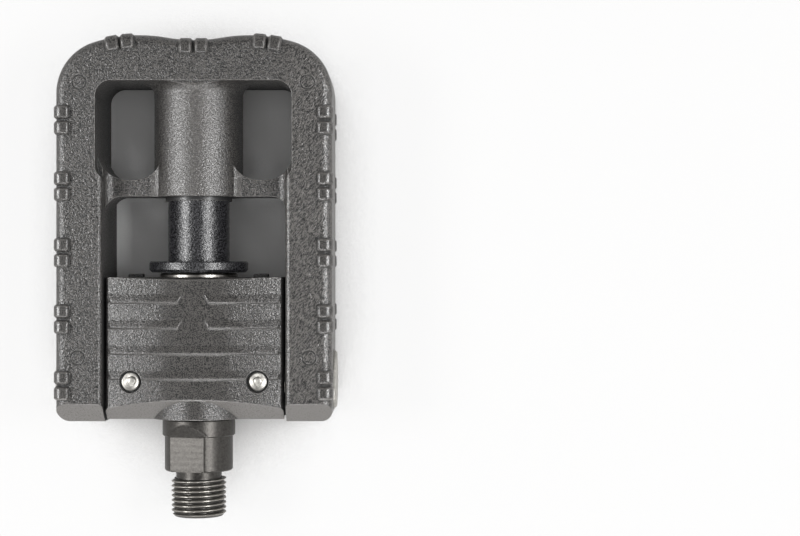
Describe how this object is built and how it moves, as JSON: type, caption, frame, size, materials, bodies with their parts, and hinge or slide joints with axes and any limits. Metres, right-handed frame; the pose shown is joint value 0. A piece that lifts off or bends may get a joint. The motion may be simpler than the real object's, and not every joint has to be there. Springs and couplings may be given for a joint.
{
  "type": "folding bicycle pedal",
  "caption": "Folding bicycle pedal with a ribbed moulded frame hinged on a block that turns on a threaded steel spindle, held straight by a spring-loaded pull collar.",
  "frame": {"origin": "on the spindle axis, at the shoulder that seats on the crank", "axes": "+Y outward along the spindle, +X across the pedal along the hinge, +Z out of the upper face"},
  "size_m": [0.0728, 0.1252, 0.0274],
  "materials": {
    "black_nylon": "moulded glass-filled nylon with a fine spark-eroded grain",
    "black_steel": "black oxide on forged steel",
    "black_paint": "gloss black paint on steel",
    "pin_steel": "bright zinc-plated steel",
    "cap_steel": "bright pressed steel, shiny",
    "bearing_steel": "ground bearing steel",
    "bush_nylon": "smooth black nylon",
    "seal_rubber": "matt black rubber"
  },
  "bodies": {
    "spindle": {"spindle": "black_steel", "inner_balls": "bearing_steel", "outer_balls": "bearing_steel", "outer_cone": "bearing_steel", "lock_washer": "bearing_steel", "lock_nut": "bearing_steel"},
    "block": {"hinge_block": "black_nylon", "inner_cup": "bearing_steel", "outer_cup": "bearing_steel", "spindle_seal": "seal_rubber", "dust_cap": "cap_steel", "hinge_pin_left": "pin_steel", "hinge_pin_right": "pin_steel", "pin_rivet_left": "pin_steel", "pin_rivet_right": "pin_steel"},
    "frame": {"pedal_frame": "black_nylon", "guide_bush": "bush_nylon", "thrust_washer_left": "bush_nylon", "thrust_washer_right": "bush_nylon", "lock_spring": "bearing_steel"},
    "collar": {"lock_collar": "black_paint", "retaining_ring": "bearing_steel"}
  },
  "joints": [
    {"name": "block_spin", "type": "hinge", "parent": "spindle", "child": "block", "pos_m": [0, 0.0292, 0], "axis": [0, 1, 0], "continuous": true},
    {"name": "frame_fold", "type": "hinge", "parent": "block", "child": "frame", "pos_m": [0, 0.0238, 0], "axis": [-1, 0, 0], "range_deg": [0, 90]},
    {"name": "collar_slide", "type": "slide", "parent": "frame", "child": "collar", "axis": [0, 1, 0], "range_m": [0, 0.012], "stiffness_N_per_m": 800, "springref_m": -0.012, "deforming": ["lock_spring"]}
  ]
}
